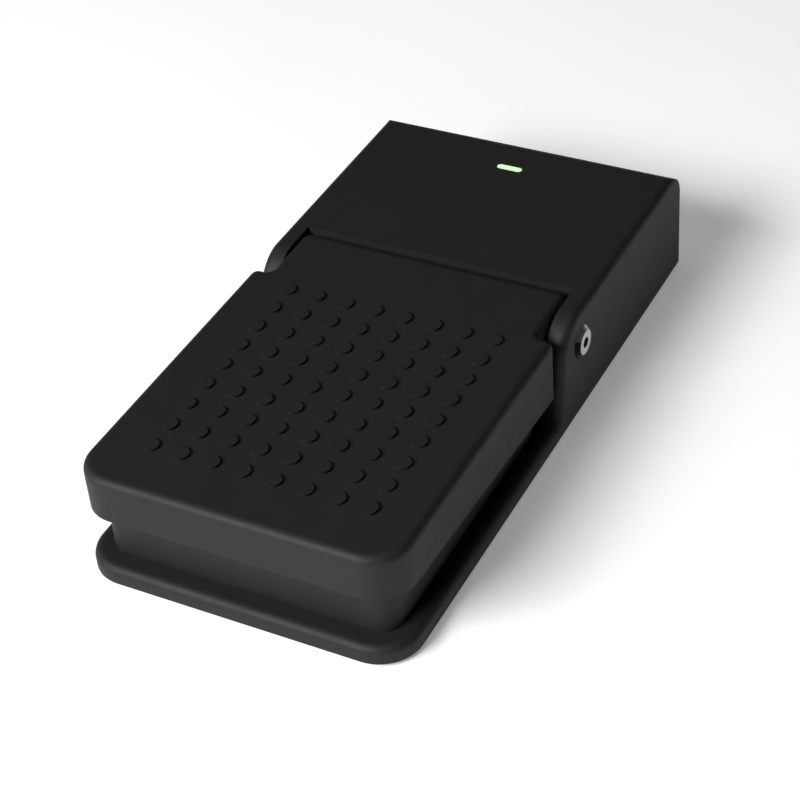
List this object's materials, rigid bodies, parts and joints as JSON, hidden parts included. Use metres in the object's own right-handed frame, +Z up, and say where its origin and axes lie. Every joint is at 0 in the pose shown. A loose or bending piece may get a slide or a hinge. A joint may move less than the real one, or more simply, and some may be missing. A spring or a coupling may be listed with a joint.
{
  "type": "sustain pedal",
  "caption": "Compact keyboard sustain foot pedal: a black base with ears and rear housing, and a studded treadle hinged on steel bolts over return springs.",
  "frame": {"origin": "on the floor under the middle of the pedal", "axes": "+X to the player's right across the pedal, +Y from the toe end to the rear panel, +Z up"},
  "size_m": [0.081, 0.156, 0.0296],
  "materials": {
    "shell_black": "fine-grained matt black moulding",
    "bolt_steel": "bright turned steel",
    "nylon": "natural nylon",
    "spring_steel": "drawn wire",
    "soft_rubber": "soft matt rubber",
    "dark_plastic": "dark moulded plastic",
    "circuit_board": "green solder mask",
    "screw_steel": "zinc plated",
    "led_green": "diffused",
    "light_pipe_green": "pale green diffusing",
    "nickel": "nickel plated",
    "brass_tabs": "tinned brass",
    "foam": "closed-cell foam",
    "battery_wrap": "plain silver-grey wrap",
    "wire_red": "wire insulation",
    "wire_grey": "wire insulation",
    "sole_rubber": "matt rubber sheet"
  },
  "bodies": {
    "base": {"base_housing": "shell_black", "pivot_bolt_left": "bolt_steel", "pivot_bolt_right": "bolt_steel", "return_spring_left": "spring_steel", "return_spring_right": "spring_steel", "down_stop_bumpers": "soft_rubber", "up_stop_pad": "soft_rubber", "switch_body": "dark_plastic", "switch_board": "circuit_board", "switch_board_screws": "screw_steel", "main_board": "circuit_board", "board_screws": "screw_steel", "board_chips": "dark_plastic", "wire_header": "nylon", "status_led": "led_green", "light_pipe": "light_pipe_green", "jack_body": "dark_plastic", "jack_washer": "nickel", "jack_nut": "nickel", "jack_tabs": "brass_tabs", "usb_shell": "nickel", "usb_tongue": "dark_plastic", "power_switch_body": "nickel", "battery_pad": "foam", "battery": "battery_wrap", "battery_leads": "wire_red", "switch_leads": "wire_grey", "bottom_cover": "dark_plastic", "cover_screws": "screw_steel", "sole_pad": "sole_rubber"},
    "treadle": {"treadle": "shell_black", "pivot_bush_left": "nylon", "pivot_bush_right": "nylon"},
    "power_knob": {"power_switch_knob": "dark_plastic"},
    "plunger": {"switch_plunger": "nylon"}
  },
  "joints": [
    {"name": "treadle_hinge", "type": "hinge", "parent": "base", "child": "treadle", "pos_m": [0, 0.0159, 0.0197], "axis": [1, 0, 0], "range_deg": [0, 6], "stiffness_Nm_per_rad": 4, "springref_deg": -11.46, "deforming": ["return_spring_left", "return_spring_right"]},
    {"name": "plunger_slide", "type": "slide", "parent": "base", "child": "plunger", "axis": [0, 0, -1], "range_m": [0, 0.0027]},
    {"name": "power_slide", "type": "slide", "parent": "base", "child": "power_knob", "axis": [1, 0, 0], "range_m": [0, 0.0025]}
  ],
  "couplings": [
    {"joint": "plunger_slide", "follows": "treadle_hinge", "m_per_rad": 0.0249}
  ]
}
